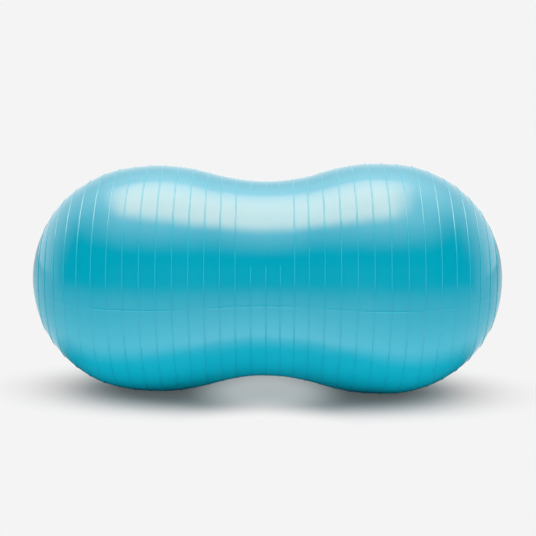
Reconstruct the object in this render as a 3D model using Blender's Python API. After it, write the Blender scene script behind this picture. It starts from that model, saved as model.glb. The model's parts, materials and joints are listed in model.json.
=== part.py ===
"""Peanut ball: a two-lobed inflatable exercise ball with a push-in valve.

The ball lies on the floor, z = 0, with its long axis along X and its smooth panel towards -Y.
The lobe at +X is blown up a little wider than the other, so the axis rises slightly towards it.
Sizes are in metres and angles in degrees. An angle round the ball is counted from -Y, upwards,
and a place along its outline from the waist, to +X.
"""
import itertools
import math

import bmesh
import bpy
from mathutils import Matrix, Vector

# Outline of the inflated skin
LOBE_RADIUS = 0.2250        # the widest circle of each lobe
WAIST_DEPTH = 0.0332        # how far the waist draws in from the lobes
LOBE_SPACING = 0.4361       # between the two widest circles
END_REACH = 0.2434          # from a widest circle to the end beside it
CROWN_DROP = 0.1600         # how far under the axis the arc over a lobe is centred
SKIN_WALL = 0.0010
CONTACT_DEPTH = 0.0015      # how far each lobe is pressed flat by the floor

# Uneven blowing up: added at the +X lobe and taken off at the other
UNEVEN_RADIUS = 0.0024      # of the widest circle
UNEVEN_PLACE = 0.0060       # of the widest circle, from the waist
UNEVEN_END = 0.0029         # from the waist to the end

# Grip ribs, which run round the ball
RIB_PITCH = 0.0273          # along the outline, beside the waist
RIB_SPREAD = 0.00017        # the skin stretches more away from the waist, by this times count squared
RIB_HEIGHT = 0.0011
RIB_WIDTH = 0.0030
BARE_END = 0.1050           # outline left without ribs round each end
RIB_RUN_OUT = 0.0100        # length over which a broken rib fades out

# Smooth panel on the front of the waist, where the middle ribs are broken
PANEL_RIBS = 3
PANEL_ANGLE = 41.5
PANEL_WIDTH = 0.1840        # round the ball

# Valve, on the back of the waist
VALVE_ANGLE = 144.0
PATCH_RADIUS = 0.0220       # smooth skin round the valve
LAND_RADIUS = 0.0110        # flat recess that holds the plug's head
LAND_DEPTH = 0.0015
BOSS_RADIUS = 0.0160        # thickened skin round the valve
BOSS_THICKNESS = 0.0030
SLEEVE_RADIUS = 0.0055
SLEEVE_LENGTH = 0.0160
FLANGE_RADIUS = 0.0120
FLANGE_THICKNESS = 0.0014
MOUTH_RADIUS = 0.0035
BORE_TAPER = 0.0004         # how much the bore narrows over the sleeve's length
LEAD_IN = 0.0004            # chamfer at the sleeve's mouth and the plug's tip
HEAD_RADIUS = 0.0075
HEAD_THICKNESS = 0.0014
HEAD_ROUND = 0.0004
DIMPLE_RADIUS = 0.0022
DIMPLE_DEPTH = 0.0005
STEM_LENGTH = 0.0140
BEAD_COUNT = 3
BEAD_HEIGHT = 0.0003
FIT_GAP = 0.0003            # clearance between neighbouring pieces

# Facets
SKIN_SEGMENTS = 40
END_RINGS = 5
BOSS_SEGMENTS = 32
VALVE_SEGMENTS = 24

# Sizes that follow from those above
WAIST_RADIUS = LOBE_RADIUS - WAIST_DEPTH
SLOPE = math.asin(2 * UNEVEN_RADIUS / LOBE_SPACING)
LEFT_PLACE = LOBE_SPACING / 2 - UNEVEN_PLACE
AXIS_HEIGHT = LOBE_RADIUS - UNEVEN_RADIUS + LEFT_PLACE * math.sin(SLOPE) - CONTACT_DEPTH


def end_place(side):
    """How far the end on a side is from the waist. A side is -1 towards -X and 1 towards +X."""
    return LOBE_SPACING / 2 + END_REACH + side * UNEVEN_END


def outline_arcs(side):
    """Three tangent arcs from the middle of the waist to the end on a side.

    Each is (centre along X, centre from the axis, signed radius, first lean, last lean). The lean is
    the angle of the skin's outward normal towards the end, and a point is centre + radius * normal.
    """
    lobe = LOBE_RADIUS + side * UNEVEN_RADIUS
    crown_x = LOBE_SPACING / 2 + side * UNEVEN_PLACE
    reach = end_place(side) - crown_x
    crown = lobe + CROWN_DROP
    cap = (crown**2 - CROWN_DROP**2 - reach**2) / (2 * (crown - reach))
    waist = (crown_x**2 + (WAIST_RADIUS + CROWN_DROP) ** 2 - crown**2) / (2 * (lobe - WAIST_RADIUS))
    waist_lean = -math.asin(crown_x / (crown + waist))
    cap_lean = math.atan2(reach - cap, CROWN_DROP)
    return [
        (0.0, WAIST_RADIUS + waist, -waist, 0.0, waist_lean),
        (crown_x, -CROWN_DROP, crown, waist_lean, cap_lean),
        (crown_x + reach - cap, 0.0, cap, cap_lean, math.pi / 2),
    ]


ARCS = {side: outline_arcs(side) for side in (-1, 1)}
HALF_OUTLINE = {side: sum(arc[2] * (arc[4] - arc[3]) for arc in ARCS[side]) for side in (-1, 1)}

# The ball's own frame has its origin in the middle of the waist and X along its axis
MIDDLE = UNEVEN_END * math.cos(SLOPE)
BALL_FRAME = Matrix.Translation((-MIDDLE, 0.0, AXIS_HEIGHT)) @ Matrix.Rotation(-SLOPE, 4, "Y")


def outline_point(along, height):
    """(x, distance from the axis) of the point at a height over the skin, along the outline."""
    side = -1 if along < 0 else 1
    rest = abs(along)
    for centre_x, centre_r, radius, first, last in ARCS[side]:
        length = radius * (last - first)
        if rest <= length or last == math.pi / 2:
            break
        rest -= length
    lean = first + min(rest, length) / radius
    reach = radius + height
    return side * (centre_x + reach * math.sin(lean)), centre_r + reach * math.cos(lean)


def rib_place(index):
    """Place of a rib along the outline, from its index, which is negative towards -X."""
    return RIB_PITCH * index + RIB_SPREAD * index * abs(index)


RIBBED = min(HALF_OUTLINE.values()) - BARE_END
RIBS_EACH_SIDE = next(index for index in itertools.count() if rib_place(index + 1) > RIBBED)


def turn_apart(angle, other):
    """Signed angle in radians between two angles round the ball, given in degrees."""
    return math.radians((angle - other + 180.0) % 360.0 - 180.0)


def rib_share(along, angle):
    """How much of a rib stands at a point of the skin: 1 for all of it, 0 on smooth skin."""
    beside_panel = abs(turn_apart(angle, PANEL_ANGLE)) * WAIST_RADIUS - PANEL_WIDTH / 2
    if abs(along) > rib_place(PANEL_RIBS // 2 + 0.5):
        beside_panel = RIB_RUN_OUT
    round_valve = math.hypot(along, turn_apart(angle, VALVE_ANGLE) * WAIST_RADIUS)
    nearest = min(beside_panel, round_valve - PATCH_RADIUS)
    return min(max(nearest / RIB_RUN_OUT, 0.0), 1.0)


def end_stations(side, last, height):
    """(place along the outline, height) of each ring from the last place to the end on a side."""
    step = (HALF_OUTLINE[side] - last) / END_RINGS
    return [(side * (last + step * index), height) for index in range(1, END_RINGS)]


def ribbed_stations():
    """The same of each ring of the outer skin, from -X to +X."""
    half = RIB_WIDTH / 2
    stations = []
    for index in range(-RIBS_EACH_SIDE, RIBS_EACH_SIDE + 1):
        place = rib_place(index)
        stations += [(place - half, 0.0), (place, RIB_HEIGHT), (place + half, 0.0)]
    last = stations[-1][0]
    return end_stations(-1, last, 0.0)[::-1] + stations + end_stations(1, last, 0.0)


def smooth_stations(inset):
    """The same for the inside of the skin, a wall's thickness in, with a ring under each rib."""
    last = rib_place(RIBS_EACH_SIDE)
    stations = [(rib_place(index), -inset) for index in range(-RIBS_EACH_SIDE, RIBS_EACH_SIDE + 1)]
    return end_stations(-1, last, -inset)[::-1] + stations + end_stations(1, last, -inset)


def link(name, bm, material=None, parent=None, cutter=False):
    """Turn a bmesh into a named object; a cutter only shapes other pieces."""
    bmesh.ops.recalc_face_normals(bm, faces=bm.faces)
    mesh = bpy.data.meshes.new(name)
    bm.to_mesh(mesh)
    bm.free()
    if material:
        mesh.materials.append(material)
    piece = bpy.data.objects.new(name, mesh)
    bpy.context.scene.collection.objects.link(piece)
    piece.parent = parent
    if cutter:
        piece.hide_render = True
        piece.display_type = "WIRE"
    else:
        mesh.shade_smooth()
        mesh.set_sharp_from_angle(angle=math.radians(30))
    return piece


def cut(piece, cutter):
    """Take the cutter's shape out of the piece."""
    boolean = piece.modifiers.new("cut_" + cutter.name, "BOOLEAN")
    boolean.operation = "DIFFERENCE"
    boolean.solver = "EXACT"
    boolean.object = cutter


def turned_skin(stations, pole_inset):
    """Rings round the X axis, one for each station, closed by a point at each end."""
    bm = bmesh.new()
    rings = []
    for along, height in stations:
        ring = []
        for index in range(SKIN_SEGMENTS):
            angle = 360.0 * index / SKIN_SEGMENTS - 90.0
            share = rib_share(along, angle) if height > 0 else 1.0
            x, radius = outline_point(along, height * share)
            turn = math.radians(angle)
            ring.append(bm.verts.new((x, -radius * math.cos(turn), radius * math.sin(turn))))
        rings.append(ring)
    for ring, after in zip(rings, rings[1:]):
        for index in range(SKIN_SEGMENTS):
            beside = (index + 1) % SKIN_SEGMENTS
            bm.faces.new((ring[index], ring[beside], after[beside], after[index]))
    for ring, side in ((rings[0], -1), (rings[-1], 1)):
        pole = bm.verts.new((side * (end_place(side) - pole_inset), 0.0, 0.0))
        for index in range(SKIN_SEGMENTS):
            bm.faces.new((ring[index], ring[(index + 1) % SKIN_SEGMENTS], pole))
    return bm


def turned_piece(outline, segments):
    """Spin a closed outline of (radius, height) points round the Z axis."""
    bm = bmesh.new()
    points = [bm.verts.new((radius, 0.0, height)) for radius, height in outline]
    edges = [bm.edges.new(pair) for pair in zip(points, points[1:] + points[:1])]
    bmesh.ops.spin(
        bm,
        geom=points + edges,
        cent=(0, 0, 0),
        axis=(0, 0, 1),
        angle=2 * math.pi,
        steps=segments,
        use_merge=True,
    )
    bmesh.ops.remove_doubles(bm, verts=bm.verts, dist=1e-6)
    loose = [edge for edge in bm.edges if not edge.link_faces]
    bmesh.ops.delete(bm, geom=loose, context="EDGES")
    return bm


def drum(radius, low, high):
    """A plain cylinder on the Z axis between two heights."""
    bm = bmesh.new()
    shift = Matrix.Translation((0, 0, (low + high) / 2))
    bmesh.ops.create_cone(
        bm,
        cap_ends=True,
        segments=BOSS_SEGMENTS,
        radius1=radius,
        radius2=radius,
        depth=high - low,
        matrix=shift,
    )
    return bm


def floor_block(name, top):
    """A block under a height, which presses the lobes flat."""
    bm = bmesh.new()
    scale = Matrix.Diagonal((4 * end_place(1), 3 * LOBE_RADIUS, LOBE_RADIUS, 1.0))
    bmesh.ops.create_cube(bm, size=1.0, matrix=Matrix.Translation((0, 0, top - LOBE_RADIUS / 2)) @ scale)
    return link(name, bm, cutter=True)


def plain_material(name, colour, roughness):
    """A plastic of one colour."""
    material = bpy.data.materials.new(name)
    material.use_nodes = True
    shader = material.node_tree.nodes["Principled BSDF"]
    shader.inputs["Base Color"].default_value = (*colour, 1.0)
    shader.inputs["Roughness"].default_value = roughness
    shader.inputs["Metallic"].default_value = 0.0
    material.diffuse_color = (*colour, 1.0)
    return material


def make_valve_axis():
    """An empty on the valve's axis, level with its land, with Z pointing out of the ball."""
    turn = math.radians(VALVE_ANGLE)
    outward = Vector((0.0, -math.cos(turn), math.sin(turn)))
    axis = bpy.data.objects.new("valve_axis", None)
    bpy.context.scene.collection.objects.link(axis)
    land = Matrix.Translation((WAIST_RADIUS - LAND_DEPTH) * outward)
    axis.matrix_world = BALL_FRAME @ land @ outward.to_track_quat("Z", "X").to_matrix().to_4x4()
    return axis


def make_ball_shell(valve_axis, material):
    """The thin skin: its ribbed outside, less its cavity, the floor's flats and the valve's holes."""
    above = 4 * LAND_DEPTH
    ball_shell = link("ball_shell", turned_skin(ribbed_stations(), 0.0), material)
    ball_shell.matrix_world = BALL_FRAME
    cut(ball_shell, floor_block("floor", 0.0))

    cavity = link("cavity", turned_skin(smooth_stations(SKIN_WALL), SKIN_WALL), cutter=True)
    cavity.matrix_world = BALL_FRAME
    cut(cavity, floor_block("floor_inside", SKIN_WALL))
    cut(cavity, link("boss", drum(BOSS_RADIUS, -BOSS_THICKNESS, above), parent=valve_axis, cutter=True))
    cut(ball_shell, cavity)

    cut(ball_shell, link("land", drum(LAND_RADIUS, 0.0, above), parent=valve_axis, cutter=True))
    hole = drum(SLEEVE_RADIUS + FIT_GAP, -2 * BOSS_THICKNESS, above)
    cut(ball_shell, link("sleeve_hole", hole, parent=valve_axis, cutter=True))
    return ball_shell


def bore_radius(depth):
    """Radius of the tapered bore at a depth under the land."""
    return MOUTH_RADIUS - BORE_TAPER * depth / SLEEVE_LENGTH


def make_valve_seat(valve_axis, material):
    """A soft sleeve through the boss, with a flange bonded to the inside of the ball."""
    flange_top = -BOSS_THICKNESS - FIT_GAP
    flange_foot = flange_top - FLANGE_THICKNESS
    outline = [
        (SLEEVE_RADIUS, 0.0),
        (SLEEVE_RADIUS, flange_top),
        (FLANGE_RADIUS, flange_top),
        (FLANGE_RADIUS, flange_foot),
        (SLEEVE_RADIUS, flange_foot),
        (SLEEVE_RADIUS, -SLEEVE_LENGTH),
        (bore_radius(SLEEVE_LENGTH), -SLEEVE_LENGTH),
        (bore_radius(LEAD_IN), -LEAD_IN),
        (MOUTH_RADIUS + LEAD_IN, 0.0),
    ]
    return link("valve_seat", turned_piece(outline, VALVE_SEGMENTS), material, valve_axis)


def make_valve_plug(valve_axis, material):
    """A plug whose round head lies in the land and whose tapered stem carries sealing beads."""
    top = FIT_GAP + HEAD_THICKNESS
    outline = [
        (0.0, top - DIMPLE_DEPTH),
        (DIMPLE_RADIUS - DIMPLE_DEPTH, top - DIMPLE_DEPTH),
        (DIMPLE_RADIUS, top),
        (HEAD_RADIUS - HEAD_ROUND, top),
        (HEAD_RADIUS, top - HEAD_ROUND),
        (HEAD_RADIUS, FIT_GAP),
    ]
    root = BEAD_HEIGHT + FIT_GAP
    outline.append((bore_radius(0.0) - root, FIT_GAP))
    spacing = STEM_LENGTH / (BEAD_COUNT + 1)
    for index in range(1, BEAD_COUNT + 1):
        for offset, height in ((-BEAD_HEIGHT, 0.0), (0.0, BEAD_HEIGHT), (BEAD_HEIGHT, 0.0)):
            depth = index * spacing + offset
            outline.append((bore_radius(depth) - root + height, -depth))
    outline += [
        (bore_radius(STEM_LENGTH) - root, LEAD_IN - STEM_LENGTH),
        (bore_radius(STEM_LENGTH) - root - LEAD_IN, -STEM_LENGTH),
        (0.0, -STEM_LENGTH),
    ]
    return link("valve_plug", turned_piece(outline, VALVE_SEGMENTS), material, valve_axis)


def main():
    for leftover in list(bpy.data.objects):
        bpy.data.objects.remove(leftover, do_unlink=True)
    skin_pvc = plain_material("skin_pvc", (0.0, 0.38, 0.56), 0.32)
    seat_pvc = plain_material("seat_pvc", (0.0, 0.33, 0.50), 0.45)
    plug_plastic = plain_material("plug_plastic", (0.80, 0.80, 0.78), 0.40)
    valve_axis = make_valve_axis()
    bpy.context.view_layer.update()
    make_ball_shell(valve_axis, skin_pvc)
    make_valve_seat(valve_axis, seat_pvc)
    make_valve_plug(valve_axis, plug_plastic)
    bpy.context.view_layer.update()


main()
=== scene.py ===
"""Looks of the peanut ball: its blown-up vinyl skin, its valve and the studio it lies in.

Lengths are in metres. The ball's long axis runs along X and its smooth panel faces -Y. An angle
round the ball is counted from -Y, upwards, and a place along its outline from the waist, to +X.
"""

import json
import math

import bpy
import numpy as np
from bpy.props import FloatProperty, FloatVectorProperty, IntProperty, PointerProperty
from bpy.types import Operator, Panel, PropertyGroup
from mathutils import Matrix, Vector


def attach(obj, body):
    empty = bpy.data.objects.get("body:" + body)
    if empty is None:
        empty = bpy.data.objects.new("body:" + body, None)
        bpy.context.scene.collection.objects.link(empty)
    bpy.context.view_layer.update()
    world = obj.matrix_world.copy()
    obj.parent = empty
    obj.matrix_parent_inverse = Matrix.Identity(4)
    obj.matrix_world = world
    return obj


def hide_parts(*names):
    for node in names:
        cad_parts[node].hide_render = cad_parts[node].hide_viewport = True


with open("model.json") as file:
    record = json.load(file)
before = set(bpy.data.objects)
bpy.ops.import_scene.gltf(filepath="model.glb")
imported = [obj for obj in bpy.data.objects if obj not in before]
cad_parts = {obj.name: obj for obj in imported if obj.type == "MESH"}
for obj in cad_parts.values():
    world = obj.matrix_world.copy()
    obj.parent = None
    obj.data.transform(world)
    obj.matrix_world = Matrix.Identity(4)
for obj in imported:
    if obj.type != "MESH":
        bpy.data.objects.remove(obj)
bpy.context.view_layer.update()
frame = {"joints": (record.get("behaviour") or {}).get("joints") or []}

bl_info = {
    "name": "Peanut ball",
    "version": (1, 0, 0),
    "blender": (4, 5, 0),
    "location": "3D View > Sidebar > Peanut ball",
    "description": "Makes an inflatable peanut ball, its valve and its studio",
    "category": "Add Mesh",
}

# How finely the skin is drawn
WALK_STEP = 0.0005
SKIN_COLUMNS = 220
RIB_ROWS = (-1.15, -1.0, -0.88, -0.45, 0.45, 0.88, 1.0, 1.15)   # in half widths of a rib
ROWS_BETWEEN = 2
END_ROWS = 14
END_GAP = 0.6                       # the gap at the tip, in gaps between those rows
INNER_ROW_PITCH = 0.0300
SEAM_COLUMNS = (-0.31, -0.16, -0.065, 0.0, 0.065, 0.16, 0.31)   # in degrees from the seam
SEAM_CLEARANCE = math.radians(0.6)

# Round the valve
HOLE_COLUMNS = 5
HOLE_REACH = 0.0230
PATCH_RINGS = 4
TURNED_SEGMENTS = 96
CORNER_STEPS = 5
ROUNDING_MIDDLE = 0.3               # how far the middle of a rounding lies from its two sides
SLEEVE_CUTS = (0.0003, 0.0002, 0.0003, 0.0003, 0.0004, 0.0003, 0.0002, 0.0002, 0.0002)   # at its corners
PLUG_CUTS = (0.00015, 0.00015, 0.0002, 0.0002, 0.0002, 0.0002, 0.0, 0.0)
STEM_ROWS = 90
BEAD_REACH = 1.6                    # half the length of a bead, in its heights

# Ribs and seam: how deep, at which rib and over how many ribs the right lobe's spacing dips
RIB_DIPS = ((0.0032, 3, 1.6), (0.0030, 14, 1.3))
# Painted glint on the ribs' crests: faint on the underside, whole on the upper half of the ball
GLINT_RISES = (0.0, 0.18)          # sines of the angles round the ball where a rib is plain, and pale
UNDERSIDE_GLINT = 0.12
SEAM_STRENGTH = 0.7
# Share of painted glint on the seam, all round
SEAM_GLINT = 0.6

# Height or share, radians per metre along the ball, waves round it, and a shift
SKIN_WAVES = (
    (0.00022, 31.0, 1.0, 0.7),
    (0.00018, 52.0, 2.0, 2.1),
    (0.00014, 74.0, -3.0, 4.0),
    (0.00010, 97.0, 5.0, 1.3),
)
SWELL_WAVES = ((0.45, 83.0, 1.0, 0.4), (0.35, 141.0, -2.0, 2.6))
SEAM_WAVES = ((0.50, 27.0, 0.0, 1.9), (0.35, 61.0, 0.0, 0.3))

# Finishes: the grain's height and scale, and how much of a rib's colour, a painted glint, and of its
# roughness comes on top
SKIN_LOOK = {"grain": 0.000015, "grain_scale": 260.0, "rib_share": 1.00, "rib_roughness": 0.10}
VALVE_LOOK = {"grain": 0.00003, "grain_scale": 1500.0, "ior": 1.5}
SLEEVE_LOOK = {**VALVE_LOOK, "roughness": 0.48}
PLUG_LOOK = {**VALVE_LOOK, "roughness": 0.38}
CLOUD_NOISE = (9.0, 3.0, 0.5)       # scale, detail and roughness of the noise
SPECK_NOISE = (900.0, 2.0, 0.5)
GRAIN_NOISE = (3.0, 0.6)
CLOUD_TINT, SPECK_TINT = 0.9, 0.5
CLOUD_GLOSS, SPECK_GLOSS = 0.10, 0.06
SPECK_HEIGHT = 0.25

# Studio: ends of its fades, in reaches of an oval, in metres or in parts of a direction
ARCH_ENDS = (1.0, 0.3)
GAP_ENDS = (1.0, 0.2)
FLOOR_BEHIND = (-0.6, 1.0)
WALL_ENDS = (-0.2, 0.6)
CEILING_POWER = 1.5
PHOTO_SENSOR = 36.0
FAR_CLIP = 100.0
FLOOR_ROWS = 9
NO_TRIANGLES = np.zeros((0, 3), int)
WHITE = (1.0, 1.0, 1.0, 1.0)
BLACK = (0.0, 0.0, 0.0, 1.0)


def smooth_step(low, high, values):
    """0 below low and 1 above high, with 3t^2 - 2t^3 between them, where t goes from 0 to 1."""
    t = np.clip((values - low) / (high - low), 0.0, 1.0)
    return t * t * (3.0 - 2.0 * t)


def waves(along, turn, terms):
    """A sum of slow waves over the skin: height * sin(a * along + b * turn + c) for each term."""
    along, turn = np.broadcast_arrays(along, turn)
    height, a, b, c = (np.array(column).reshape((-1,) + (1,) * along.ndim) for column in zip(*terms))
    return (height * np.sin(a * along + b * turn + c)).sum(axis=0)


# Outline of the skin


def half_outline(lobe, crown_place, reach, waist, crown_drop):
    """Lengths and bends of the three tangent arcs from the middle of the waist to one end.

    The crown's arc is centred crown_drop under the axis, with a radius of lobe + crown_drop. The
    end's arc is centred on the axis and lies inside the crown's circle, so the distance of their
    centres is the difference of their radii. The waist's arc is centred outside the ball, over its
    middle, and its distance from the crown's centre is the sum of their radii.
    """
    crown = lobe + crown_drop
    end = (crown**2 - crown_drop**2 - (reach - crown_place) ** 2) / (2 * (crown - reach + crown_place))
    hollow = (crown_place**2 + (waist + crown_drop) ** 2 - crown**2) / (2 * (lobe - waist))
    inward = math.atan2(crown_place, waist + hollow + crown_drop)
    outward = math.atan2(reach - end - crown_place, crown_drop)
    lengths = [hollow * inward, crown * (inward + outward), end * (math.pi / 2 - outward)]
    return lengths, [-1 / hollow, 1 / crown, 1 / end]


def walk_outline(shape):
    """The outline from -X to +X as arrays of places along it, x, distances from the axis and leans.

    The bend at each step is that of its arc, averaged with its neighbours under a raised cosine. The
    lean is the sum of the bends, and the point is the sum of the steps' cosines and sines. What the
    walk misses at the far end is spread evenly.
    """
    shared = shape.waist, shape.crown_drop
    left = half_outline(shape.left_lobe, shape.left_crown, shape.left_reach, *shared)
    right = half_outline(shape.right_lobe, shape.right_crown, shape.right_reach, *shared)
    lengths, bends = (np.array(one[::-1] + other) for one, other in zip(left, right))
    whole = lengths.sum()
    count = int(round(whole / WALK_STEP))
    step = whole / count
    middles = (np.arange(count) + 0.5) * step
    bend = bends[np.searchsorted(np.cumsum(lengths)[:-1], middles)]

    ease = int(round(shape.arc_easing / step))
    window = np.hanning(2 * ease + 3)[1:-1]
    bend = np.convolve(np.pad(bend, ease, mode="symmetric"), window / window.sum(), "valid")
    bend *= math.pi / (bend.sum() * step)

    lean = np.concatenate(([0.0], np.cumsum(bend * step))) - math.pi / 2
    middle_lean = (lean[1:] + lean[:-1]) / 2
    share = np.linspace(0.0, 1.0, count + 1)
    x = np.concatenate(([0.0], np.cumsum(np.cos(middle_lean) * step))) - shape.left_reach
    x += (shape.right_reach - x[-1]) * share
    radius = np.concatenate(([0.0], np.cumsum(-np.sin(middle_lean) * step)))
    radius -= radius[-1] * share
    return {"along": share * whole - sum(left[0]), "x": x, "radius": radius, "lean": lean}


def on_ball(walk, shape, along, turn, height, floor=0.0):
    """Points a height off the drawn outline, at places along it and angles round the ball.

    A point of the outline moves by height * (sin lean, cos lean), turns about the axis, and is then
    tipped by the ball's slope and lifted to the axis's height. Nothing goes below the floor.
    """
    along, turn = np.broadcast_arrays(along, turn)
    lean = np.interp(along, walk["along"], walk["lean"])
    x = np.interp(along, walk["along"], walk["x"]) + height * np.sin(lean)
    reach = np.interp(along, walk["along"], walk["radius"]) + height * np.cos(lean)
    up = reach * np.sin(turn)
    tip = shape.slope
    tipped_x = x * math.cos(tip) - up * math.sin(tip) + shape.waist_place
    tipped_z = x * math.sin(tip) + up * math.cos(tip) + shape.axis_height
    return np.stack((tipped_x, -reach * np.cos(turn), np.maximum(tipped_z, floor)), axis=-1)


def place_on_ball(walk, shape, points):
    """Places along the outline and angles round the ball of points near the waist."""
    right = points[..., 0] - shape.waist_place
    up = points[..., 2] - shape.axis_height
    tip = shape.slope
    x = right * math.cos(tip) + up * math.sin(tip)
    z = up * math.cos(tip) - right * math.sin(tip)
    return np.interp(x, walk["x"], walk["along"]), np.arctan2(z, -points[..., 1])


# Relief of the skin


def rib_places(shape):
    """Places of the ribs along the outline: pitch * i + spread * i^2 on each side of the middle.

    On the right, dips of depth * exp(-t^2) bring some ribs a little nearer to the waist, where t is
    counted in ribs. What a dip has at the middle rib is added back, so that this one stays.
    """
    index = np.arange(-shape.ribs_a_side, shape.ribs_a_side + 1)
    count = np.abs(index)
    left = -(shape.left_pitch * count + shape.left_spread * count**2)
    right = shape.right_pitch * count + shape.right_spread * count**2
    for depth, at, width in RIB_DIPS:
        right -= depth * (np.exp(-(((count - at) / width) ** 2)) - np.exp(-((at / width) ** 2)))
    return np.where(index < 0, left, right)


def turn_gap(turn, middle):
    """How far angles round the ball lie from one of them, the shorter way round."""
    return np.abs(np.angle(np.exp(1j * (turn - middle))))


def skin_relief(shape, along, turn):
    """Height of the relief over the skin, and its share of painted glint there, from 0 to 1.

    A rib is half an ellipse across its width. The middle ribs are broken over the panel, and the
    ribs by the valve at its round patch, where the height fades over the run-out. The skin between
    two ribs swells by 4t(1 - t), and the seam is exp(-t^2) across its width, times a strength that
    comes and goes along it. The ribs' crests carry a painted glint, whole on the upper half of the
    ball and faint on the underside. The seam carries a fainter painted glint all round.
    """
    along, turn = np.broadcast_arrays(along, turn)
    ribs = rib_places(shape)
    nearest = np.searchsorted((ribs[1:] + ribs[:-1]) / 2, along)
    gap = np.abs(along - ribs[nearest]) / (shape.rib_width / 2)
    rib = np.sqrt(1.0 - np.minimum(gap, 1.0) ** 2)

    round_panel = turn_gap(turn, shape.panel_turn) * shape.waist
    half_panel = shape.panel_width / 2
    broken = 1.0 - smooth_step(half_panel - shape.run_out, half_panel, round_panel)
    middle = np.abs(nearest - shape.ribs_a_side) <= shape.panel_ribs // 2
    patch = shape.patch_radius
    from_valve = np.hypot(along, (turn - shape.valve_turn) * shape.waist)
    clear = smooth_step(patch, patch + shape.run_out, from_valve)
    rib *= clear * (1.0 - broken * middle)

    before = np.clip(np.searchsorted(ribs, along) - 1, 0, len(ribs) - 2)
    t = np.clip((along - ribs[before]) / (ribs[before + 1] - ribs[before]), 0.0, 1.0)
    swell = 4.0 * t * (1.0 - t) * (1.0 + waves(along, turn, SWELL_WAVES))

    seam_gap = np.minimum(turn_gap(turn, shape.seam_turn), turn_gap(turn, shape.seam_turn + math.pi))
    seam = np.exp(-((seam_gap * shape.left_lobe / shape.seam_width) ** 2))
    seam *= np.clip(SEAM_STRENGTH + waves(along, turn, SEAM_WAVES), 0.0, 1.0)
    smooth = shape.swell * swell + shape.seam_height * seam + waves(along, turn, SKIN_WAVES)
    # Painted glint: the ribs' crests are paler on the upper half of the ball, and faint below
    painted_glint = UNDERSIDE_GLINT + (1.0 - UNDERSIDE_GLINT) * smooth_step(*GLINT_RISES, np.sin(turn))
    return shape.rib_height * rib + clear * smooth, np.maximum(rib * painted_glint, SEAM_GLINT * seam)


# Meshes from grids


def numbered(points, start=0):
    """Numbers for the corners of a grid of points, counted from a start."""
    return start + np.arange(points[..., 0].size).reshape(points.shape[:-1])


def faces_round(corners):
    """Faces between the rows of a grid of corners whose columns close round.

    With rows to the right and columns upwards, each face turns to the left.
    """
    after = np.roll(corners, -1, axis=1)
    return np.stack((corners[:-1], corners[1:], after[1:], after[:-1]), axis=-1)


def holed_faces(corners, low_row, high_row, low_column, high_column):
    """The same faces, but for those in a hole."""
    faces = faces_round(corners)
    kept = np.ones(faces.shape[:2], bool)
    kept[low_row:high_row, low_column:high_column] = False
    return faces[kept]


def fan_faces(ring, tip):
    """Triangles from each edge of a closed ring of corners to one tip."""
    return np.stack((ring, np.roll(ring, -1), np.full(len(ring), tip)), axis=-1)


def new_object(name, data):
    """An object in the scene, at the origin."""
    thing = bpy.data.objects.new(name, data)
    bpy.context.scene.collection.objects.link(thing)
    return thing


def mesh_piece(name, points, quads, material, triangles=NO_TRIANGLES, glint_shares=None):
    """An object at the origin from arrays of points and faces, shaded smooth."""
    points, quads = points.reshape(-1, 3), quads.reshape(-1, 4)
    mesh = bpy.data.meshes.new(name)
    corners = np.concatenate((quads.ravel(), triangles.ravel())).astype(np.int32)
    sizes = np.repeat((4, 3), (len(quads), len(triangles))).astype(np.int32)
    mesh.vertices.add(len(points))
    mesh.vertices.foreach_set("co", points.astype(np.float32).ravel())
    mesh.loops.add(len(corners))
    mesh.loops.foreach_set("vertex_index", corners)
    mesh.polygons.add(len(sizes))
    mesh.polygons.foreach_set("loop_start", np.cumsum(sizes, dtype=np.int32) - sizes)
    mesh.polygons.foreach_set("loop_total", sizes)
    mesh.update(calc_edges=True)
    mesh.validate(clean_customdata=False)
    mesh.shade_smooth()
    # The painted glint shares go into a point attribute named rib
    if glint_shares is not None:
        attribute = mesh.attributes.new("rib", "FLOAT", "POINT")
        attribute.data.foreach_set("value", glint_shares.astype(np.float32))
    mesh.materials.append(material)
    return new_object(name, mesh)


# Skin


def skin_rows(shape):
    """Places of the rows along the outline, over each rib and between them."""
    ribs = rib_places(shape)
    half = shape.rib_width / 2
    over = ribs[:, None] + half * np.array(RIB_ROWS)
    share = np.arange(1, ROWS_BETWEEN + 1) / (ROWS_BETWEEN + 1)
    first = ribs[:-1, None] + half
    between = first + (ribs[1:, None] - half - first) * share
    return np.sort(np.concatenate((over.ravel(), between.ravel())))


def end_rows(inside, end):
    """Places from the last row towards the end, evenly spaced but for a shorter gap at the tip."""
    share = np.arange(1, END_ROWS + 1) / (END_ROWS + END_GAP)
    return inside + (end - inside) * share


def skin_columns(shape):
    """Angles of the columns round the ball, evenly from the valve, and closer at each seam."""
    pitch = 2 * math.pi / SKIN_COLUMNS
    even = shape.valve_turn + (np.arange(SKIN_COLUMNS) - SKIN_COLUMNS // 2) * pitch
    seams = np.array([shape.seam_turn, shape.seam_turn + math.pi])
    near = np.abs(even[:, None] - seams).min(axis=1) < SEAM_CLEARANCE
    close = seams[:, None] + np.radians(SEAM_COLUMNS)
    return np.sort(np.concatenate((even[~near], close.ravel())))


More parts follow.
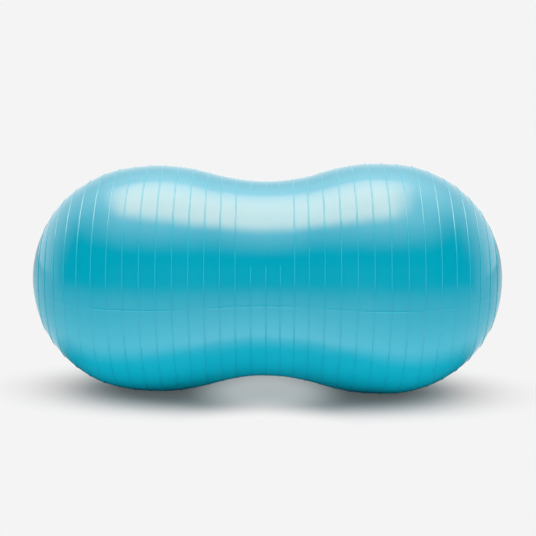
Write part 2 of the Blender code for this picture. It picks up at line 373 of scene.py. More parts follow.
def hole_loop(low_row, high_row, low_column, high_column):
    """Rows and columns of the corners round a hole in the grid, turning to the left, and their angles.

    The angles place as many corners evenly on a circle inside the hole, a quarter turn to each side.
    """
    rows, columns = np.arange(low_row, high_row), np.arange(low_column, high_column)
    sides = (len(rows), len(columns)) * 2
    row_list = (rows, [high_row] * sides[1], rows[::-1] + 1, [low_row] * sides[1])
    column_list = ([low_column] * sides[0], columns, [high_column] * sides[0], columns[::-1] + 1)
    turned = np.repeat(np.arange(4), sides) + np.concatenate([np.arange(n) / n for n in sides])
    angles = turned * math.pi / 2 - 3 * math.pi / 4
    return np.concatenate(row_list), np.concatenate(column_list), angles


def valve_axes(shape, valve):
    """The middle of the valve's land, and the directions along the ball, round it and outwards."""
    tip, turn = shape.slope, shape.valve_turn
    along = np.array((math.cos(tip), 0.0, math.sin(tip)))
    up = np.array((-math.sin(tip), 0.0, math.cos(tip)))
    back = np.array((0.0, 1.0, 0.0))
    outward = math.sin(turn) * up - math.cos(turn) * back
    round_it = math.cos(turn) * up + math.sin(turn) * back
    land = np.array((shape.waist_place, 0.0, shape.axis_height)) + valve.land_reach * outward
    return land, along, round_it, outward


def valve_rings(axes, angles, rows):
    """A circle, radius * (cos, sin), about the valve's axis for each radius and rise off the land."""
    land, across, round_it, outward = axes
    around = np.cos(angles)[:, None] * across + np.sin(angles)[:, None] * round_it
    radii = np.array([radius for radius, _ in rows])[:, None, None]
    rises = np.stack([np.broadcast_to(rise, angles.shape) for _, rise in rows])[..., None]
    return land + radii * around + rises * outward


def make_skin(shape, valve, material):
    """The skin as one closed surface: outside, inside and the boss round the valve."""
    walk = walk_outline(shape)
    ends = walk["along"][0], walk["along"][-1]
    ribbed = skin_rows(shape)
    left_end = end_rows(ribbed[0], ends[0])[::-1]
    right_end = end_rows(ribbed[-1], ends[1])
    rows = np.concatenate((left_end, ribbed, right_end))
    columns = skin_columns(shape)

    # Outside
    # rib: the share of painted glint on the crests and the seam
    height, rib = skin_relief(shape, rows[:, None], columns)
    outside = on_ball(walk, shape, rows[:, None], columns, height)
    corners = numbered(outside)
    low_row = int(np.searchsorted(rows, -HOLE_REACH))
    high_row = int(np.searchsorted(rows, HOLE_REACH)) - 1
    at_valve = int(np.argmin(np.abs(columns - shape.valve_turn)))
    hole_sides = at_valve - HOLE_COLUMNS, at_valve + HOLE_COLUMNS
    faces = holed_faces(corners, low_row, high_row, *hole_sides)

    # Inside, on the same columns, with fewer rows
    left_rows = np.linspace(left_end[0], rows[low_row], int(-ends[0] / INNER_ROW_PITCH))[:-1]
    right_rows = np.linspace(rows[high_row], right_end[-1], int(ends[1] / INNER_ROW_PITCH))[1:]
    inner_rows = np.concatenate((left_rows, rows[low_row : high_row + 1], right_rows))
    wall = shape.skin_wall
    inside = on_ball(walk, shape, inner_rows[:, None], columns, -wall, wall)
    inner_corners = numbered(inside, corners.size)
    shift = len(left_rows) - low_row
    inner_faces = holed_faces(inner_corners, low_row + shift, high_row + shift, *hole_sides)[:, ::-1]

    # Rings from the outside, down into the land, through the hole and out to the inside. Their
    # faces turn the other way.
    axes = valve_axes(shape, valve)
    loop_rows, loop_columns, angles = hole_loop(low_row, high_row, *hole_sides)
    loop_along, loop_turn = rows[loop_rows], columns[loop_columns]
    share = np.arange(1, PATCH_RINGS + 1)[:, None] / (PATCH_RINGS + 1)

    rim = valve_rings(axes, angles, [(valve.land_radius + valve.edge, valve.land_depth)])[0]
    rim_along, rim_turn = place_on_ball(walk, shape, rim)
    patch_along = loop_along + (rim_along - loop_along) * share
    patch_turn = loop_turn + (rim_turn - loop_turn) * share
    patch_height, patch_glint = skin_relief(shape, patch_along, patch_turn)
    patch = on_ball(walk, shape, patch_along, patch_turn, patch_height)
    rim = on_ball(walk, shape, rim_along, rim_turn, 0.0)
    rim_rise = (rim - axes[0]) @ axes[3]

    boss = valve_rings(axes, angles, [(valve.boss_radius + valve.edge, 0.0)])[0]
    boss_along, boss_turn = place_on_ball(walk, shape, boss)
    boss = on_ball(walk, shape, boss_along, boss_turn, -wall)
    boss_rise = (boss - axes[0]) @ axes[3]
    back_along = boss_along + (loop_along - boss_along) * share
    back_turn = boss_turn + (loop_turn - boss_turn) * share
    back = on_ball(walk, shape, back_along, back_turn, -wall)

    edge, half = valve.edge, valve.edge / 2
    bend = ROUNDING_MIDDLE * edge
    land, hole, thick, foot = valve.land_radius, valve.hole_radius, valve.boss_radius, -valve.boss_thickness
    steps = (
        (land + bend, rim_rise - bend),
        (land, rim_rise - edge),
        (land, edge),
        (land - bend, bend),
        (land - edge, 0.0),
        ((land + hole) / 2, 0.0),
        (hole + half, 0.0),
        (hole, -half),
        (hole, foot + half),
        (hole + half, foot),
        ((thick + hole) / 2, foot),
        (thick - edge, foot),
        (thick, foot + edge),
        (thick, np.minimum(boss_rise - edge, -half)),
    )
    rings = np.concatenate((patch, rim[None], valve_rings(axes, angles, steps), boss[None], back))
    ring_start = corners.size + inner_corners.size
    outer_loop = corners[loop_rows, loop_columns]
    inner_loop = inner_corners[loop_rows + shift, loop_columns]
    loops = np.concatenate((outer_loop[None], numbered(rings, ring_start), inner_loop[None]))
    loop_faces = faces_round(loops)[..., [0, 3, 2, 1]].reshape(-1, 4)

    # Ends
    tips = np.array([on_ball(walk, shape, end, 0.0, rise) for rise in (0.0, -wall) for end in ends])
    tip_start = ring_start + rings[..., 0].size
    edges = corners[0], corners[-1, ::-1], inner_corners[0, ::-1], inner_corners[-1]
    fans = np.concatenate([fan_faces(ring, tip_start + number) for number, ring in enumerate(edges)])

    points = np.concatenate([part.reshape(-1, 3) for part in (outside, inside, rings, tips)])
    faces = np.concatenate((faces, inner_faces, loop_faces))
    glint_shares = np.zeros(len(points))
    glint_shares[: rib.size] = rib.ravel()
    glint_shares[ring_start : ring_start + patch_glint.size] = patch_glint.ravel()

    # The corners in the two holes belong to no face
    used = np.zeros(len(points), bool)
    used[faces] = True
    used[fans] = True
    place = np.cumsum(used) - 1
    return mesh_piece("ball_skin", points[used], place[faces], material, place[fans], glint_shares[used])


# Turned pieces of the valve


def rounded(corners, cuts):
    """A profile whose corners are rounded: (1 - t)^2 a + 2t(1 - t) b + t^2 c about each corner b.

    a and c lie on the two edges that meet there, at the corner's own distance from it.
    """
    corners = np.array(corners, float)
    before = np.roll(corners, 1, axis=0) - corners
    after = np.roll(corners, -1, axis=0) - corners
    cuts = np.array(cuts, float)[:, None]
    start = corners + before / np.linalg.norm(before, axis=1)[:, None] * cuts
    stop = corners + after / np.linalg.norm(after, axis=1)[:, None] * cuts
    t = np.linspace(0.0, 1.0, CORNER_STEPS)[None, :, None]
    curve = (1 - t) ** 2 * start[:, None] + 2 * t * (1 - t) * corners[:, None] + t**2 * stop[:, None]
    return curve.reshape(-1, 2)


def turned_piece(name, profile, axes, closed, material):
    """A profile of radii and rises turned about the valve's axis.

    A closed profile joins its last row to its first. An open one has a tip on the axis at each end.
    """
    angles = np.arange(TURNED_SEGMENTS) * 2 * math.pi / TURNED_SEGMENTS
    points = valve_rings(axes, angles, profile if closed else profile[1:-1])
    corners = numbered(points)
    if closed:
        return mesh_piece(name, points, faces_round(np.concatenate((corners, corners[:1]))), material)
    tips = axes[0] + profile[[0, -1], 1, None] * axes[3]
    points = np.concatenate((points.reshape(-1, 3), tips))
    fans = fan_faces(corners[0], corners.size), fan_faces(corners[-1, ::-1], corners.size + 1)
    return mesh_piece(name, points, faces_round(corners), material, np.concatenate(fans))


def bore_radius(valve, depth):
    """Radius of the tapered bore: its mouth, less the taper in proportion to the depth."""
    return valve.mouth_radius - valve.bore_taper * depth / valve.sleeve_length


def make_seat(axes, valve, material):
    """The soft sleeve with its flange, its edges rounded."""
    top = -valve.boss_thickness - valve.fit_gap
    foot = top - valve.flange_thickness
    sleeve, flange, length = valve.sleeve_radius, valve.flange_radius, valve.sleeve_length
    corners = [
        (sleeve, 0.0),
        (sleeve, top),
        (flange, top),
        (flange, foot),
        (sleeve, foot),
        (sleeve, -length),
        (bore_radius(valve, length), -length),
        (bore_radius(valve, valve.lead_in), -valve.lead_in),
        (valve.mouth_radius + valve.lead_in, 0.0),
    ]
    return turned_piece("valve_sleeve", rounded(corners, SLEEVE_CUTS), axes, True, material)


def make_plug(axes, valve, material):
    """The plug: a dished head with a rounded rim, and a stem with round beads of the form cos^2."""
    gap, head = valve.fit_gap, valve.head_radius
    top = gap + valve.head_thickness
    dimple, dip = valve.dimple_radius, valve.dimple_depth
    root = valve.bead_height + gap
    neck = bore_radius(valve, 0.0) - root
    length = valve.stem_length
    corners = [
        (dimple - dip, top - dip),
        (dimple, top),
        (head - valve.head_round, top),
        (head, top - valve.head_round),
        (head, gap),
        (neck, gap),
    ]
    closing = [(0.0, gap), (0.0, top - dip)]
    upper = rounded(corners + closing, PLUG_CUTS)[: len(corners) * CORNER_STEPS]

    depth = np.linspace(2 * valve.bead_height, length - valve.lead_in, STEM_ROWS)
    spacing = length / (valve.bead_count + 1)
    nearest = np.clip(np.round(depth / spacing), 1, valve.bead_count) * spacing
    near = np.minimum(np.abs(depth - nearest) / (BEAD_REACH * valve.bead_height), 1.0)
    bead = valve.bead_height * np.cos(near * math.pi / 2) ** 2
    stem = np.stack((bore_radius(valve, depth) - root + bead, -depth), axis=-1)
    tip = np.array([(stem[-1, 0] - valve.lead_in, -length), (0.0, -length)])
    start = np.array([(0.0, top - dip)])
    profile = np.concatenate((start, upper, stem, tip))
    return turned_piece("valve_stopper", profile, axes, False, material)


# Materials


class Wire:
    """An output of a node tree. Python's operators on it add Math nodes."""

    def __init__(self, tree, socket=None):
        self.tree = tree
        self.socket = socket

    def add(self, kind, values, output=0, **settings):
        """Adds any node: its settings first, then its sockets' numbers or wires."""
        node = self.tree.nodes.new(kind)
        for name, setting in settings.items():
            setattr(node, name, setting)
        for name, value in values.items():
            if isinstance(value, Wire):
                self.tree.links.new(value.socket, node.inputs[name])
            else:
                node.inputs[name].default_value = value
        return Wire(self.tree, node.outputs[output]) if node.outputs else node

    def maths(self, operation, *terms, clamped=False):
        """Adds a Math node on wires or numbers."""
        terms = dict(enumerate(terms))
        return self.add("ShaderNodeMath", terms, operation=operation, use_clamp=clamped)

    def mixed(self, share, first, second):
        """Adds a node that mixes two colours by a share."""
        return self.add("ShaderNodeMix", {0: share, 6: first, 7: second}, 2, data_type="RGBA")

    def spread(self, value, start, end, share=1.0, smooth=True):
        """Adds a node that goes from 0 to a share while a value goes from a start to an end."""
        kind = "SMOOTHSTEP" if smooth else "LINEAR"
        values = {"Value": value, "From Min": start, "From Max": end, "To Max": share}
        return self.add("ShaderNodeMapRange", values, interpolation_type=kind)

    def sibling(self, name):
        """Another output of the same node."""
        return Wire(self.tree, self.socket.node.outputs[name])

    def __add__(self, other):
        return self.maths("ADD", self, other)

    def __radd__(self, other):
        return self.maths("ADD", other, self)

    def __sub__(self, other):
        return self.maths("SUBTRACT", self, other)

    def __rsub__(self, other):
        return self.maths("SUBTRACT", other, self)

    def __mul__(self, other):
        return self.maths("MULTIPLY", self, other)

    def __rmul__(self, other):
        return self.maths("MULTIPLY", other, self)

    def __rtruediv__(self, other):
        return self.maths("DIVIDE", other, self)


def new_tree(owner):
    """An empty node tree of a material or world, as a wire to add nodes to."""
    owner.use_nodes = True
    owner.node_tree.nodes.clear()
    return Wire(owner.node_tree)


def noise(tree, coordinates, scale, detail, rough):
    """A noise texture's value, which is near 0.5."""
    values = {"Vector": coordinates, "Scale": scale, "Detail": detail, "Roughness": rough}
    return tree.add("ShaderNodeTexNoise", values)


def moulded_plastic(name, colour, shade, look, glint_colour=None):
    """A moulded plastic: base colour with slow and fine mottling, uneven gloss and a fine grain."""
    material = bpy.data.materials.new(name)
    tree = new_tree(material)
    place = tree.add("ShaderNodeTexCoord", {}, "Object")
    cloud = noise(tree, place, *CLOUD_NOISE)
    speck = noise(tree, place, *SPECK_NOISE)
    grain = noise(tree, place, look["grain_scale"], *GRAIN_NOISE)
    mottling = (cloud - 0.5) * CLOUD_TINT + (speck - 0.5) * SPECK_TINT
    base = tree.mixed(tree.maths("ADD", mottling, 0.5, clamped=True), (*shade, 1.0), (*colour, 1.0))
    roughness = look["roughness"] + (cloud - 0.5) * CLOUD_GLOSS + (speck - 0.5) * SPECK_GLOSS
    # A rib's crest and the seam get a paler colour, a painted glint, where the rib attribute says
    if glint_colour is not None:
        rib = tree.add("ShaderNodeAttribute", {}, "Fac", attribute_name="rib")
        base = tree.mixed(rib * look["rib_share"], base, (*glint_colour, 1.0))
        roughness = roughness + rib * look["rib_roughness"]
    bumps = {"Height": grain + speck * SPECK_HEIGHT, "Distance": look["grain"]}
    values = {"Base Color": base, "Roughness": roughness, "IOR": look["ior"]}
    values["Normal"] = tree.add("ShaderNodeBump", bumps)
    shader = tree.add("ShaderNodeBsdfPrincipled", values)
    tree.add("ShaderNodeOutputMaterial", {"Surface": shader})
    return material


# Stage


def oval_fade(tree, place, size, front, ends, share=1.0):
    """0 at one end and a share at the other, smoothly, over the reach of a point of the floor.

    The reach is the root of the squares of x / length and (y + front) / width.
    """
    squeeze = {1: (1.0 / size[0], 1.0 / size[1], 0.0), 2: (0.0, front / size[1], 0.0)}
    oval = tree.add("ShaderNodeVectorMath", {0: place, **squeeze}, operation="MULTIPLY_ADD")
    reach = tree.add("ShaderNodeVectorMath", {0: oval}, "Value", operation="LENGTH")
    return tree.spread(reach, *ends, share)


def make_floor(studio):
    """A pale floor: matt near the ball, where it takes the shadow, and even light farther out.

    Painted pools of even light lie under the waist, and in front of it between the lobes' shadows,
    and a painted share of even light lifts the whole shadow. To gloss the matt part is larger and
    painted nearly black, a painted dark reflection that gives the ball the deep blue band along
    its underside, and the even light's level falls off as 1 / (1 + fall * distance) and rises again
    far behind the ball. To the eye and to the matt part of the ball it has other levels.
    """
    material = bpy.data.materials.new("studio_floor")
    material.cycles.emission_sampling = "NONE"
    tree = new_tree(material)
    place = tree.add("ShaderNodeTexCoord", {}, "Object")
    seen = tree.add("ShaderNodeLightPath", {}, "Is Camera Ray")
    gloss = seen.sibling("Is Glossy Ray")

    # Share of even light: to the eye and the matt part of the ball, and to gloss
    near = oval_fade(tree, place, (studio.even_length, studio.even_width), 0.0, (studio.even_edge, 1.0))
    arch = (studio.arch_length, studio.arch_width), studio.arch_front, ARCH_ENDS, studio.arch_share
    gap = studio.gap_front, GAP_ENDS, studio.gap_share
    wide = oval_fade(tree, place, (studio.gap_length, studio.gap_width * studio.gap_spread), *gap)
    under = oval_fade(tree, place, *arch)
    # Painted light: shadow_light lifts the shadow, and wide and under are painted pools of light
    even = tree.maths("ADD", near + studio.shadow_light + wide, under, clamped=True)
    dark = (studio.dark_length, studio.dark_width), 0.0, (studio.dark_edge, studio.dark_end)
    narrow = oval_fade(tree, place, (studio.gap_length, studio.gap_width), *gap)
    far = tree.maths("ADD", oval_fade(tree, place, *dark), narrow, clamped=True)
    even = even + (far - even) * gloss

    # Its level
    distance = tree.add("ShaderNodeVectorMath", {0: place}, "Value", operation="LENGTH")
    deep = tree.add("ShaderNodeSeparateXYZ", {"Vector": place}, "Y")
    behind = tree.spread(deep, *FLOOR_BEHIND, studio.pale_floor)
    sheen = studio.floor_glow / (1.0 + studio.floor_fall * distance) + behind
    unseen = studio.floor_fill + (sheen - studio.floor_fill) * gloss
    level = unseen + (studio.background - unseen) * seen

    # Painted colour: the floor is warmer near the ball, to cancel the blue light the ball throws on it
    pale = tree.mixed(near, (*studio.floor_near, 1.0), (*studio.floor_far, 1.0))
    # Painted dark reflection: near the ball the floor is nearly black to gloss
    pale = tree.mixed(gloss * studio.dark_share, pale, BLACK)
    paper = tree.add("ShaderNodeBsdfDiffuse", {"Color": pale})
    glow = tree.add("ShaderNodeEmission", {"Color": WHITE, "Strength": level})
    surface = tree.add("ShaderNodeMixShader", {0: even, 1: paper, 2: glow})
    tree.add("ShaderNodeOutputMaterial", {"Surface": surface})

    steps = np.linspace(-1.0, 1.0, FLOOR_ROWS) * studio.floor_reach
    points = np.stack(np.meshgrid(steps, steps, -studio.floor_gap, indexing="ij"), axis=-1)[:, :, 0]
    return mesh_piece("studio_floor", points, faces_round(numbered(points))[:, :-1], material)


def make_world(studio):
    """Even pale grey to the eye, and to the ball a dark room with a pale back wall and a ceiling.

    The wall is paler to gloss. The ceiling comes in as a power of t, with t from 0 to 1 upwards.
    """
    world = bpy.data.worlds.new("studio_walls")
    bpy.context.scene.world = world
    tree = new_tree(world)
    towards = tree.add("ShaderNodeTexCoord", {}, "Generated")
    back = tree.add("ShaderNodeSeparateXYZ", {"Vector": towards}, "Y")
    behind = tree.spread(back, *WALL_ENDS)
    overhead = tree.spread(back.sibling("Z"), studio.ceiling_edge, studio.ceiling_whole, smooth=False)
    seen = tree.add("ShaderNodeLightPath", {}, "Is Camera Ray")
    wall = studio.wall_fill + (studio.pale_wall - studio.wall_fill) * seen.sibling("Is Glossy Ray")
    room = studio.dark_wall + wall * behind
    room = room + studio.ceiling * tree.maths("POWER", overhead, CEILING_POWER)
    level = room + (studio.background - room) * seen
    background = tree.add("ShaderNodeBackground", {"Color": WHITE, "Strength": level})
    tree.add("ShaderNodeOutputWorld", {"Surface": background})


def add_lamp(name, middle, size, towards, level):
    """A white lamp that faces one way and that gloss doesn't see. Its power is pi * level * area."""
    lamp = bpy.data.lights.new(name, "AREA")
    lamp.shape = "RECTANGLE"
    lamp.size, lamp.size_y = size
    lamp.energy = math.pi * level * size[0] * size[1]
    thing = new_object(name, lamp)
    thing.location = middle
    thing.rotation_euler = Vector(towards).to_track_quat("-Z", "Y").to_euler()
    thing.visible_camera = False
    thing.visible_glossy = False


def make_lamps(studio):
    """A soft box overhead and a panel in front and behind."""
    middle = (0.0, (studio.box_front + studio.box_back) / 2, studio.box_height)
    size = (studio.box_width, studio.box_back - studio.box_front)
    add_lamp("soft_box", middle, size, (0.0, 0.0, -1.0), studio.box_level)
    size = (studio.panel_width, studio.panel_height)
    for name, side, level in (("front_panel", -1, studio.fill), ("back_panel", 1, studio.back_fill)):
        middle = (0.0, side * studio.panel_distance, studio.panel_height / 2)
        add_lamp(name, middle, size, (0.0, -side, 0.0), level)


def make_sheen(studio):
    """A sheet of light overhead that only gloss sees.

    Its level fades to its sides, and its front edge is a parabola, y = front + bow * x^2.
    """
    material = bpy.data.materials.new("studio_sheen")
    material.cycles.emission_sampling = "NONE"
    tree = new_tree(material)
    place = tree.add("ShaderNodeTexCoord", {}, "Object")
    across = tree.add("ShaderNodeSeparateXYZ", {"Vector": place}, "X")
    deep = across.sibling("Y")
    level = studio.sheen_level
    left, right, front, back = studio.sheen_left, studio.sheen_right, studio.sheen_front, studio.sheen_back
    dark_back = back + studio.back_cut
    fades = (
        (across, left, left + studio.side_fade),
        (across, right, right - studio.side_fade),
        (deep - studio.sheen_bow * across * across, front, front + studio.front_fade),
        (deep, dark_back, dark_back - studio.back_fade),
    )
    for value, dark, bright in fades:
        level = level * tree.spread(value, dark, bright)
    glow = tree.add("ShaderNodeEmission", {"Color": (*studio.sheen_tint, 1.0), "Strength": level})
    clear = tree.add("ShaderNodeBsdfTransparent", {"Color": WHITE})
    both = tree.add("ShaderNodeAddShader", {0: clear, 1: glow})
    tree.add("ShaderNodeOutputMaterial", {"Surface": both})

    corners = (left, front), (left, back), (right, back), (right, front)
    points = np.array([(*corner, studio.sheen_height) for corner in corners])
    piece = mesh_piece("studio_sheen", points, np.arange(4), material)
    for ray in ("camera", "diffuse", "transmission", "shadow"):
        setattr(piece, "visible_" + ray, False)
    return piece


def make_camera(studio):
    """The camera at its height over the floor, turned a little about its line of sight."""
    data = bpy.data.cameras.new("photo_camera")
    data.sensor_fit = "HORIZONTAL"
    data.sensor_width = PHOTO_SENSOR
    data.lens = studio.lens
    data.clip_end = FAR_CLIP
    waist = Vector((WAIST_PLACE, 0.0, studio.aim_height))
    rise = studio.elevation
    place = waist + studio.distance * Vector((0.0, -math.cos(rise), math.sin(rise)))
    aim = waist + Vector((studio.aim_right, 0.0, studio.aim_up))
    level = (aim - place).to_track_quat("-Z", "Y").to_matrix().to_4x4()
    camera = new_object("photo_camera", data)
    camera.matrix_world = Matrix.Translation(place) @ level @ Matrix.Rotation(studio.roll, 4, "Z")
    bpy.context.scene.camera = camera


# Settings


def length(default, description):
    """A length setting in metres."""
    return FloatProperty(description=description, default=default, unit="LENGTH", precision=4)


def turn(degrees, description):
    """An angle setting."""
    return FloatProperty(description=description, default=math.radians(degrees), subtype="ANGLE", precision=3)


def share(default, description):
    """A setting without a unit."""
    return FloatProperty(description=description, default=default, precision=3)


def count(default, description):
    """A whole number of things."""
    return IntProperty(description=description, default=default, min=1)


def colour(default, description):
    """A linear colour."""
    limits = {"size": 3, "min": 0.0, "max": 1.0}
    return FloatVectorProperty(description=description, default=default, subtype="COLOR", **limits)


def labelled(group):
    """Gives each setting of a group its name as a label."""
    for name, setting in group.__annotations__.items():
        setting.keywords["name"] = name.replace("_", " ").capitalize()
    return group


PLUG_X, PLUG_Y, PLUG_Z = frame["joints"][0]["axis"]
SLOPE = math.degrees(math.atan2(-PLUG_X, PLUG_Z))
VALVE_TURN = math.degrees(math.atan2(math.hypot(PLUG_X, PLUG_Z), -PLUG_Y))
WAIST_PLACE = -0.0029


@labelled
class BallShape(PropertyGroup):
    """Sizes of the blown-up skin. Its two lobes aren't quite alike."""

    left_lobe: length(0.2226, "Widest radius of the lobe at -X")
    right_lobe: length(0.2274, "Widest radius of the lobe at +X")
    left_crown: length(0.2121, "From the waist to the widest place at -X")
    right_crown: length(0.2240, "From the waist to the widest place at +X")
    left_reach: length(0.4586, "From the waist to the end at -X")
    right_reach: length(0.4643, "From the waist to the end at +X")
    waist: length(0.1918, "Radius at the waist")
    crown_drop: length(0.1600, "How far under the axis the crown's arc is centred")
    arc_easing: length(0.0240, "Outline over which one arc passes into the next")
    skin_wall: length(0.0010, "Thickness of the skin")
    waist_place: length(WAIST_PLACE, "Middle of the waist along X")
    axis_height: length(0.22343, "Middle of the waist over the floor")
    slope: turn(SLOPE, "Rise of the long axis towards +X")
    ribs_a_side: count(16, "Ribs on each side of the middle one")
    left_pitch: length(0.02789, "Between ribs at -X, beside the waist")
    right_pitch: length(0.02664, "Between ribs at +X, beside the waist")
    left_spread: length(0.000111, "How much the ribs spread towards -X")
    right_spread: length(0.0002297, "How much the ribs spread towards +X")
    rib_width: length(0.0022, "Width of a rib at its foot")
    rib_height: length(0.0010, "Height of a rib")
    run_out: length(0.0100, "Length over which a broken rib fades out")
    panel_ribs: count(3, "Ribs broken at the smooth panel")
    panel_turn: turn(41.5, "Middle of the smooth panel")
    panel_width: length(0.1840, "Length of the smooth panel round the ball")
    valve_turn: turn(VALVE_TURN, "Place of the valve round the ball")
    patch_radius: length(0.0220, "Radius of the smooth skin round the valve")
    swell: length(0.00008, "How far the skin stands up between two ribs")
    seam_turn: turn(-6.3, "Place of the mould's front seam round the ball")
    seam_height: length(0.00045, "Greatest height of the seam")
    seam_width: length(0.0005, "Half width of the seam at the lobes")


@labelled
class SkinFinish(PropertyGroup):
    """Colours of the skin and the valve, and the vinyl's gloss."""

    skin: colour((0.000, 0.405, 0.556), "Of the skin, where it is lightest")
    skin_shade: colour((0.000, 0.375, 0.516), "Where it is darkest")
    # The rib colour is a painted glint on the crests and the seam
    rib: colour((0.015, 0.545, 0.685), "Of a rib's crest")
    sleeve: colour((0.000, 0.350, 0.520), "Of the valve's sleeve")
    sleeve_shade: colour((0.000, 0.310, 0.470), "Where it is darkest")
    plug: colour((0.780, 0.790, 0.780), "Of the valve's plug")
    plug_shade: colour((0.720, 0.730, 0.710), "Where it is darkest")
    roughness: share(0.13, "Roughness of the skin")
    refraction: share(1.85, "Index of refraction of the skin")


@labelled
class ValveSizes(PropertyGroup):
    """Sizes of the valve and its plug."""

    land_reach: length(0.1903, "From the ball's axis to the land")
    land_radius: length(0.0110, "Flat recess that holds the plug's head")
    land_depth: length(0.0015, "Depth of the land under the skin")
    boss_radius: length(0.0160, "Thickened skin round the valve")
    boss_thickness: length(0.0030, "Thickness of the skin under the land")
    hole_radius: length(0.0058, "Hole in the skin for the sleeve")
    edge: length(0.0004, "Rounding of the land's and the hole's edges")
    sleeve_radius: length(0.0055, "Outer radius of the sleeve")
    sleeve_length: length(0.0160, "Length of the sleeve")
    flange_radius: length(0.0120, "Flange of the sleeve, under the boss")
    flange_thickness: length(0.0014, "Thickness of the flange")
    mouth_radius: length(0.0035, "Radius of the bore at its mouth")
    bore_taper: length(0.0004, "How much the bore narrows")
    lead_in: length(0.0004, "Chamfer at the bore's mouth and the plug's tip")
    head_radius: length(0.0075, "Head of the plug")
    head_thickness: length(0.0014, "Thickness of the head")
    head_round: length(0.0004, "Rounding of the head's rim")
    dimple_radius: length(0.0022, "Radius of the dimple in the head")
    dimple_depth: length(0.0005, "Depth of the dimple")
    stem_length: length(0.0140, "Length of the plug's stem")
    bead_count: count(3, "Sealing beads on the stem")
    bead_height: length(0.0003, "Height of a bead over the stem")
    fit_gap: length(0.0003, "Clearance between neighbouring pieces")


@labelled
class StudioSettings(PropertyGroup):
    """The floor, the room, the lamps, the sheet of light and the camera."""

    background: share(0.905, "Level of the background, 1 is white")
    floor_near: colour((0.87, 0.63, 0.57), "Its colour at the ball, whose light makes it grey")
    floor_far: colour((0.85, 0.84, 0.83), "Its colour farther out")
    floor_gap: length(0.0004, "From the lowest skin down to it")
    floor_reach: length(14.0, "Half the floor's width")
    floor_glow: share(3.4, "Level of its even light beside the ball, for gloss")
    floor_fill: share(1.53, "Level of that light for the matt part of the ball")
    floor_fall: share(8.0, "How fast that falls off, per metre")
    even_length: length(0.68, "Along X, from the waist to where its light is even")
    even_width: length(0.30, "The same along Y")
    even_edge: share(0.40, "Share of that length where even light begins")
    shadow_light: share(0.07, "Share of even light at the ball")
    dark_length: length(0.73, "Along X, half the part that is dark to gloss")
    dark_width: length(0.362, "The same along Y")
    dark_edge: share(0.60, "Share of that length where even light begins")
    dark_end: share(0.84, "Share of that length where all is even")
    dark_share: share(0.95, "How much darker the matt part is to gloss")
    gap_length: length(0.17, "Along X, half the light between the lobes' shadows")
    gap_width: length(0.10, "The same along Y")
    gap_front: length(0.27, "From the waist to its middle, towards -Y")
    gap_share: share(0.45, "Its greatest share")
    gap_spread: share(2.0, "How much wider it is to the eye than to gloss")
    arch_length: length(0.17, "Along X, half the light under the waist")
    arch_width: length(0.20, "The same along Y")
    arch_front: length(0.03, "From the waist to its middle, towards -Y")
    arch_share: share(0.34, "Its greatest share")
    fill: share(0.83, "Level of the light from the front")
    back_fill: share(0.50, "Level of the light from behind")
    panel_distance: length(3.0, "From the ball to the panels")
    panel_height: length(1.5, "Height of the panels")
    panel_width: length(5.0, "Width of the panels")
    pale_floor: share(0.42, "Level of the floor behind the ball, for gloss")
    pale_wall: share(1.04, "Level of the wall behind the ball, for gloss")
    wall_fill: share(0.50, "Level of that wall for the matt part of the ball")
    ceiling: share(1.35, "Level overhead")
    ceiling_edge: share(0.515, "Upward part of the direction where it starts")
    ceiling_whole: share(0.875, "Upward part where it has its level")
    dark_wall: share(0.005, "Level of the other walls")
    box_height: length(3.00, "The soft box over the floor")
    box_front: length(-1.10, "Its edge towards -Y")
    box_back: length(0.10, "Its edge towards +Y")
    box_width: length(6.0, "Along X")
    box_level: share(1.83, "Its light per area and angle")
    sheen_height: length(1.42, "The sheet of light over the floor")
    sheen_left: length(-0.97, "Its edge towards -X")
    sheen_right: length(0.73, "Its edge towards +X")
    sheen_front: length(-0.83, "Its edge towards -Y")
    sheen_back: length(0.52, "Its edge towards +Y")
    sheen_level: share(4.6, "Its greatest level")
    sheen_bow: share(0.45, "How much its front edge bows")
    side_fade: length(0.45, "How far it fades at the sides")
    front_fade: length(0.42, "How far it fades in front")
    back_fade: length(0.85, "How far it fades at the back")
    back_cut: length(0.23, "Of that, how much is cut off")
    sheen_tint: colour((1.0, 0.59, 0.34), "Its colour")
    lens: share(71.8, "Focal length in millimetres")
    distance: length(2.126, "From the camera to the waist")
    elevation: turn(9.0, "Of the camera over the waist")
    aim_height: length(0.2235, "Height of the waist over the floor")
    aim_right: length(0.0035, "From the waist to where it looks, along X")
    aim_up: length(0.0207, "The same upwards")
    roll: turn(0.72, "Turn about its line of sight")


# Operators and panel


def take_over(piece, node, body):
    """The piece stands for a CAD node, which it hides, and moves with its body."""
    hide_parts(node)
    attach(piece, body)


class PEANUT_OT_skin(Operator):
    """Makes the ribbed skin"""

    bl_idname = "peanut_ball.make_skin"
    bl_label = "Make skin"
    bl_options = {"REGISTER", "UNDO"}

    def execute(self, context):
        finish = context.scene.peanut_finish
        look = {**SKIN_LOOK, "roughness": finish.roughness, "ior": finish.refraction}
        vinyl = moulded_plastic("skin_vinyl", finish.skin, finish.skin_shade, look, finish.rib)
        skin = make_skin(context.scene.peanut_shape, context.scene.peanut_valve, vinyl)
        take_over(skin, "ball_shell", "ball")
        return {"FINISHED"}


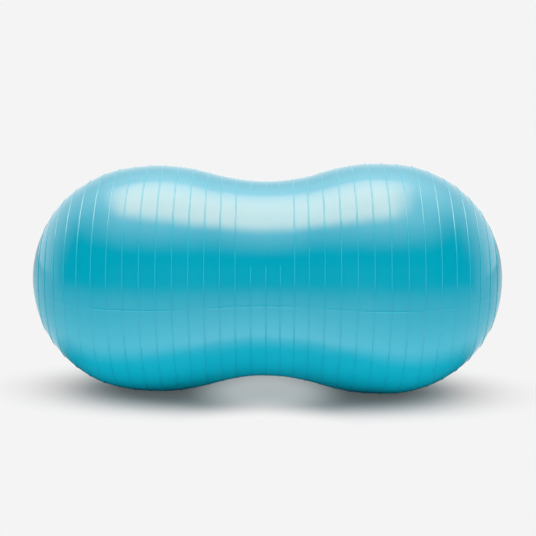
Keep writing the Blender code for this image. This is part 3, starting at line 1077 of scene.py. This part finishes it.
class PEANUT_OT_valve(Operator):
    """Makes the valve's sleeve and its plug"""

    bl_idname = "peanut_ball.make_valve"
    bl_label = "Make valve"
    bl_options = {"REGISTER", "UNDO"}

    def execute(self, context):
        finish = context.scene.peanut_finish
        valve = context.scene.peanut_valve
        axes = valve_axes(context.scene.peanut_shape, valve)
        soft = moulded_plastic("sleeve_vinyl", finish.sleeve, finish.sleeve_shade, SLEEVE_LOOK)
        take_over(make_seat(axes, valve, soft), "valve_seat", "ball")
        hard = moulded_plastic("plug_plastic", finish.plug, finish.plug_shade, PLUG_LOOK)
        take_over(make_plug(axes, valve, hard), "valve_plug", "plug")
        return {"FINISHED"}


class PEANUT_OT_studio(Operator):
    """Makes the floor, the light and the camera"""

    bl_idname = "peanut_ball.make_studio"
    bl_label = "Make studio"
    bl_options = {"REGISTER", "UNDO"}

    def execute(self, context):
        studio = context.scene.peanut_studio
        make_floor(studio)
        make_sheen(studio)
        make_world(studio)
        make_lamps(studio)
        make_camera(studio)
        context.scene.view_settings.view_transform = "Standard"
        return {"FINISHED"}


class PEANUT_PT_panel(Panel):
    """Lists the pieces that can be made and their main settings"""

    bl_idname = "PEANUT_PT_panel"
    bl_label = "Peanut ball"
    bl_space_type = "VIEW_3D"
    bl_region_type = "UI"
    bl_category = "Peanut ball"

    def draw(self, context):
        column = self.layout.column()
        for step in STEPS:
            column.operator(step.bl_idname)
        for group, names in SHOWN_SETTINGS.items():
            for name in names:
                column.prop(getattr(context.scene, group), name)


STEPS = (PEANUT_OT_studio, PEANUT_OT_skin, PEANUT_OT_valve)
SETTINGS = {
    "peanut_shape": BallShape,
    "peanut_finish": SkinFinish,
    "peanut_valve": ValveSizes,
    "peanut_studio": StudioSettings,
}
KINDS = (*SETTINGS.values(), *STEPS, PEANUT_PT_panel)
SHOWN_SETTINGS = {
    "peanut_shape": ("left_lobe", "right_lobe", "waist", "rib_height", "rib_width", "seam_height"),
    "peanut_finish": ("skin", "rib", "roughness", "plug"),
    "peanut_studio": ("background", "box_level", "elevation"),
}


def register():
    for kind in KINDS:
        bpy.utils.register_class(kind)
    for name, kind in SETTINGS.items():
        setattr(bpy.types.Scene, name, PointerProperty(type=kind))


def unregister():
    for name in SETTINGS:
        delattr(bpy.types.Scene, name)
    for kind in reversed(KINDS):
        bpy.utils.unregister_class(kind)


def main():
    """Makes everything."""
    register()
    bpy.ops.peanut_ball.make_studio()
    bpy.ops.peanut_ball.make_skin()
    bpy.ops.peanut_ball.make_valve()
    bpy.context.view_layer.update()


if __name__ == "__main__":
    main()
